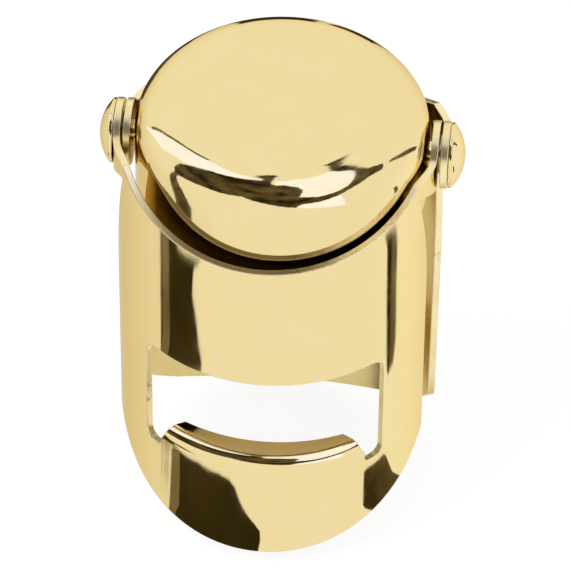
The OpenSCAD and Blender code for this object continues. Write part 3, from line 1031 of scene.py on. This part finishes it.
class STOPPER_OT_jaws(bpy.types.Operator):
    """Press the two jaws from their flat blank, edges rounded, lips turned in"""

    bl_idname = "stopper.jaws"
    bl_label = "Pressed jaws"

    def execute(self, context):
        scene = context.scene
        jaw = PressedJaw(scene.stopper_cap, scene.stopper_jaw, scene.stopper_hinge)
        points, faces, normals, parts = jaw.build()
        others = [(gold_for(kind), taken) for kind, taken in parts.items()]
        lift = np.array([0, 0, jaw.hinge])
        sheets = {"front_jaw": (points, normals), "back_jaw": jaw.swung(points, normals)}
        for body, (places, directions) in sheets.items():
            make_piece(body + "_sheet", places + lift, faces, directions, gold_for("sheet"),
                       body, body, "gold_polish", others)
        return {"FINISHED"}


class STOPPER_OT_rivets(bpy.types.Operator):
    """Turn the two domed rivets with their shanks and upset tails"""

    bl_idname = "stopper.rivets"
    bl_label = "Rivets"

    def execute(self, context):
        scene = context.scene
        cap, jaw, hinge = scene.stopper_cap, scene.stopper_jaw, scene.stopper_hinge
        tail, shank, head = hinge.tail / MM, hinge.shank / MM, hinge.head / MM
        seat, end = tail_seat(cap, hinge), tail_seat(cap, hinge) - hinge.tail_thick / MM
        under = (cap.radius + hinge.cap_clear + 2 * jaw.sheet + 3 * hinge.play
                 + hinge.washer) / MM
        rim, dome = hinge.rim / MM, hinge.dome / MM
        ball = (head ** 2 + dome ** 2) / (2 * dome)
        middle = under + rim + dome - ball
        line = [(0, end, 0), (tail, end, 0.3), (tail, seat, 0.2), (shank, seat, 0.05),
                (shank, under, 0.05), (head, under, 0.12), (head, under + rim, 0.25)]
        for a in np.linspace(math.asin(head / ball), 0, 16)[1:]:
            line.append((ball * math.sin(a), middle + ball * math.cos(a), 0))
        line[-1] = (0, line[-1][1], 0)
        make_pair("rivet", "turned", turned(line, 128, 0.6, 0.08), 0, cap, gold_for("small"),
                  "gold_polish")
        return {"FINISHED"}


class STOPPER_OT_washers(bpy.types.Operator):
    """Cut the two thin washers that keep the ears apart"""

    bl_idname = "stopper.washers"
    bl_label = "Washers"

    def execute(self, context):
        scene = context.scene
        cap, jaw, hinge = scene.stopper_cap, scene.stopper_jaw, scene.stopper_hinge
        look = scene.stopper_finishes
        start = (cap.radius + hinge.cap_clear + jaw.sheet + hinge.play) / MM
        thick, wide, hole = hinge.washer / MM, hinge.washer_radius / MM, hinge.hole / MM
        ring = turned([(hole, 0, 0.04), (wide, 0, 0.05), (wide, thick, 0.05), (hole, thick, 0.04)],
                      96, 0.4, 0.02, closed=True)
        dull = metal("washer_metal", look.washer_gold, look.gold, 2.0, 0.4, 0.8, 0.22, 0.12,
                     0.00004)
        make_pair("washer", "cut", ring, start, cap, dull, "washer_metal")
        return {"FINISHED"}


# ---------------------------------------------------------------- studio


def studio_camera():
    """The photograph's view: a long lens, 44 degrees above the front."""
    around, above, roll = (math.radians(a) for a in CAMERA_TURNS)
    away = Vector((math.sin(around) * math.cos(above), -math.cos(around) * math.cos(above),
                   math.sin(above)))
    right = Vector((math.cos(around), math.sin(around), 0))
    up = Vector((-math.sin(around) * math.sin(above), math.cos(around) * math.sin(above),
                 math.cos(above)))
    x_axis = right * math.cos(roll) + up * math.sin(roll)
    y_axis = up * math.cos(roll) - right * math.sin(roll)
    data = bpy.data.cameras.new("photo_camera")
    data.sensor_width, data.lens = 36, CAMERA_LENS
    data.clip_start, data.clip_end = 0.02, 20
    camera = placed("photo_camera", data)
    camera.matrix_world = Matrix.Translation(
        Vector(CAMERA_TARGET) * MM + away * CAMERA_AWAY) @ Matrix(
        (x_axis, y_axis, away)).transposed().to_4x4()
    bpy.context.scene.camera = camera


def studio_world():
    """White all round. Polished metal sees a light tent, its lower walls a little darker to the
    left and back."""
    world = bpy.data.worlds.new("studio")
    world.use_nodes = True
    bpy.context.scene.world = world
    tree = world.node_tree
    rays = add(tree, "LightPath").outputs
    split = add(tree, "SeparateXYZ", {0: add(tree, "TexCoord").outputs["Generated"]}).outputs
    front = maths(tree, "MULTIPLY", split["Y"], -1.0)
    around = maths(tree, "DIVIDE", maths(tree, "ARCTAN2", split["X"], front), 2 * math.pi)
    walls = colour_ramp(tree, maths(tree, "ADD", around, 0.5), [
        (azimuth / 360 + 0.5, colour) for azimuth, colour in TABLE_WALLS])
    tent = mix(tree, between(tree, split["Z"], -0.35, 0.15), walls, (1, 0.99, 0.97, 1))
    plain = maths(tree, "MAXIMUM", rays["Is Camera Ray"], rays["Is Transmission Ray"])
    other = mix(tree, plain, (0.95, 0.95, 0.95, 1), (1, 1, 1, 1))
    connect(tree, tree.nodes["Background"], {
        "Color": mix(tree, rays["Is Glossy Ray"], other, tent), "Strength": 1.0})


def card_look(name, dark, pale, spots):
    """A studio card's mottled colour."""
    material, tree, shader = new_material(name)
    tree.nodes.remove(shader)
    mottle = cloudy(tree, piece_place(tree), spots, 5.0)
    glow = add(tree, "Emission", {
        "Strength": 1.0, "Color": colour_ramp(tree, mottle, [(0.38, dark), (0.66, pale)])})
    tree.links.new(glow.outputs[0], tree.nodes["Material Output"].inputs["Surface"])
    return material


def card(name, flat, place, material, ragged=0.0):
    """A studio card that only polished metal sees, cut from a flat outline and laid out by
    `place`. `ragged` is how far its edge wanders."""
    line = rounded([(x, y, 0) for x, y in flat], True, step=1.0 if ragged else 3.0)
    if ragged:
        k = np.arange(len(line))
        wander = np.sin(k * 2.3) + np.sin(k * 0.9 + 1) + np.sin(k * 4.1)
        line = line + side_of(line, True) * (ragged * wander)[:, None]
    spans = [np.arange(a + 2.0, b, 4.0) for a, b in zip(line.min(0), line.max(0))]
    grid = np.stack(np.meshgrid(*spans), -1).reshape(-1, 2)
    grid = grid[inside(grid, line)]
    grid = grid[nearest(grid, line) > 1.5] if len(grid) else grid
    flat_points = [Vector(p) for p in np.vstack([line, grid]).tolist()]
    edges = [(i, (i + 1) % len(line)) for i in range(len(line))]
    verts, _, faces, _, _, _ = delaunay_2d_cdt(flat_points, edges, [], 0, CDT_LEAST)
    middles = np.array([[sum(verts[i][k] for i in f) / len(f) for k in (0, 1)] for f in faces])
    kept = [f for f, keep in zip(faces, inside(middles, line)) if keep]
    mesh = bpy.data.meshes.new(name)
    mesh.from_pydata([place(*v) for v in verts], [], kept)
    mesh.materials.append(material)
    piece = placed(name, mesh)
    piece.visible_camera = piece.visible_diffuse = piece.visible_shadow = False
    piece.visible_transmission = False


def far_off(distance):
    """Places (azimuth, elevation) in degrees on a sphere round the stopper; azimuth 0 is the
    front, 90 the right."""
    def place(azimuth, elevation):
        a, e = math.radians(azimuth), math.radians(elevation)
        return (distance * math.sin(a) * math.cos(e), -distance * math.cos(a) * math.cos(e),
                distance * math.sin(e))
    return place


def on_table(x, y):
    """Places millimetres on the table."""
    return x * MM, y * MM, CAD_BOX[0][2]


def studio_floor(look):
    """A pale floor that the camera sees almost white, with the stopper's shadow on it."""
    x, z = 1.5, CAD_BOX[0][2] - 0.0002
    mesh = bpy.data.meshes.new("studio_floor")
    mesh.from_pydata([(-x, -x, z), (x, -x, z), (x, x, z), (-x, x, z)], [], [(0, 1, 2, 3)])
    floor = placed("studio_floor", mesh)
    floor.visible_glossy = False
    material, tree, matt = new_material("pale_floor")
    connect(tree, matt, {
        "Base Color": (*look.floor, 1), "Roughness": 0.9, "Specular IOR Level": 0.0})
    glow = add(tree, "Emission", {"Strength": 1.03, "Color": (1, 1, 1, 1)})
    rays = add(tree, "LightPath").outputs
    seen = maths(tree, "MAXIMUM", rays["Is Camera Ray"], rays["Is Glossy Ray"])
    seen = maths(tree, "MAXIMUM", seen, rays["Is Transmission Ray"])
    blend = add(tree, "MixShader", {
        0: maths(tree, "MULTIPLY", seen, FLOOR_GLOW), 1: matt.outputs[0], 2: glow.outputs[0]})
    tree.links.new(blend.outputs[0], tree.nodes["Material Output"].inputs["Surface"])
    mesh.materials.append(material)


def studio_cards():
    looks = {name: card_look(name, *values) for name, *values in CARD_LOOKS}
    for name, look, distance, ragged, flat in FAR_CARDS:
        card(name, flat, far_off(distance), looks[look], ragged)
    for name, look, flat in TABLE_CARDS:
        card(name, flat, on_table, looks[look])


def soft_lamp(name, place, aim, size, watts):
    data = bpy.data.lights.new(name, "AREA")
    data.shape = "RECTANGLE"
    data.size, data.size_y = size
    data.energy = watts
    lamp = placed(name, data)
    lamp.visible_glossy = False
    lamp.location = place
    lamp.rotation_mode = "QUATERNION"
    lamp.rotation_quaternion = (Vector(aim) - Vector(place)).to_track_quat("-Z", "Y")


class STOPPER_OT_studio(bpy.types.Operator):
    """Set up the pale floor, the cards, the soft lamp and the camera"""

    bl_idname = "stopper.studio"
    bl_label = "Studio"

    def execute(self, context):
        scene = context.scene
        studio_world()
        studio_floor(scene.stopper_finishes)
        studio_cards()
        soft_lamp("key_lamp", (-0.35, -0.25, 0.6), (0, 0, 0), (0.3, 0.3), 2.0)
        studio_camera()
        scene.view_settings.view_transform = "Standard"
        return {"FINISHED"}


class STOPPER_PT_pieces(bpy.types.Panel):
    """Lists the pieces of the stopper and its studio"""

    bl_label = "Bottle stopper"
    bl_idname = "STOPPER_PT_pieces"
    bl_space_type = "VIEW_3D"
    bl_region_type = "UI"
    bl_category = "Stopper"

    def draw(self, context):
        for operator in OPERATORS:
            self.layout.operator(operator.bl_idname)


OPERATORS = (
    STOPPER_OT_cap, STOPPER_OT_seal, STOPPER_OT_jaws,
    STOPPER_OT_rivets, STOPPER_OT_washers, STOPPER_OT_studio,
)
GROUPS = {
    "stopper_cap": CapSizes, "stopper_jaw": JawSizes,
    "stopper_hinge": HingeSizes, "stopper_finishes": Finishes,
}


def register():
    for group in GROUPS.values():
        bpy.utils.register_class(group)
    for name, group in GROUPS.items():
        setattr(bpy.types.Scene, name, bpy.props.PointerProperty(type=group))
    for operator in OPERATORS:
        bpy.utils.register_class(operator)
    bpy.utils.register_class(STOPPER_PT_pieces)


def unregister():
    bpy.utils.unregister_class(STOPPER_PT_pieces)
    for operator in reversed(OPERATORS):
        bpy.utils.unregister_class(operator)
    for name in GROUPS:
        delattr(bpy.types.Scene, name)
    for group in reversed(GROUPS.values()):
        bpy.utils.unregister_class(group)


def main():
    register()
    bpy.ops.stopper.cap()
    bpy.ops.stopper.seal()
    bpy.ops.stopper.jaws()
    bpy.ops.stopper.rivets()
    bpy.ops.stopper.washers()
    bpy.ops.stopper.studio()


if __name__ == "__main__":
    main()
